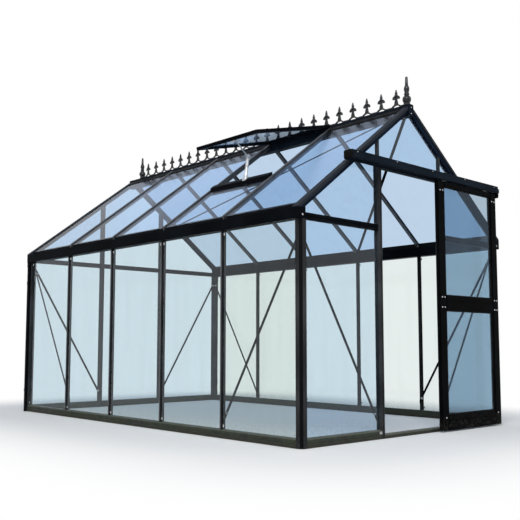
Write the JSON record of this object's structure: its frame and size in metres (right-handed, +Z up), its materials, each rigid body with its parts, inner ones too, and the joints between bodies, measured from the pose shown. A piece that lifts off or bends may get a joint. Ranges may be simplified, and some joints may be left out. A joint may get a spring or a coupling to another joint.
{
  "type": "greenhouse",
  "caption": "Small Victorian style greenhouse: dark aluminium frame glazed all round, with box gutters, a ridge cresting with finials, an open roof vent and a sliding gable door.",
  "frame": {"origin": "on the ground at the middle of the overall plan, with the door's track counted in the depth", "axes": "+X to the right along the front gable, +Y from the front gable to the back gable, +Z up"},
  "size_m": [2.493, 3.933, 2.7409],
  "materials": {
    "frame": "black powder coat, satin",
    "sill": "black powder coat with soil splashes",
    "casting": "cast ornament, painted black",
    "glass": "clear horticultural glass",
    "steel": "bare metal",
    "wheel": "moulded plastic"
  },
  "bodies": {
    "house": {"sill_left": "sill", "sill_right": "sill", "sill_front": "sill", "sill_back": "sill", "threshold": "sill", "corner_posts": "frame", "side_bars_left": "frame", "side_bars_right": "frame", "gutter_left": "frame", "gutter_right": "frame", "downpipes": "frame", "rafters_left": "frame", "rafters_right": "frame", "front_gable_rafters": "frame", "back_gable_rafters": "frame", "ridge_beam": "frame", "ridge_cresting": "casting", "front_finial": "casting", "back_finial": "casting", "door_posts": "frame", "front_ties": "frame", "door_head": "frame", "back_posts": "frame", "back_ties": "frame", "side_braces": "frame", "gable_braces": "frame", "roof_braces": "frame", "side_glass_left": "glass", "side_glass_right": "glass", "roof_glass_left": "glass", "roof_glass_right": "glass", "front_gable_glass": "glass", "back_gable_glass": "glass", "vent_stiles": "frame", "vent_rails": "frame", "vent_glass": "glass", "vent_sill": "frame", "vent_opener": "steel", "door_track": "frame"},
    "door": {"door_stiles": "frame", "door_rails": "frame", "door_glass": "glass", "door_hangers": "steel", "door_wheels": "wheel"}
  },
  "joints": [
    {"name": "door_slide", "type": "slide", "parent": "house", "child": "door", "axis": [-1, 0, 0], "range_m": [0, 0.67]}
  ]
}
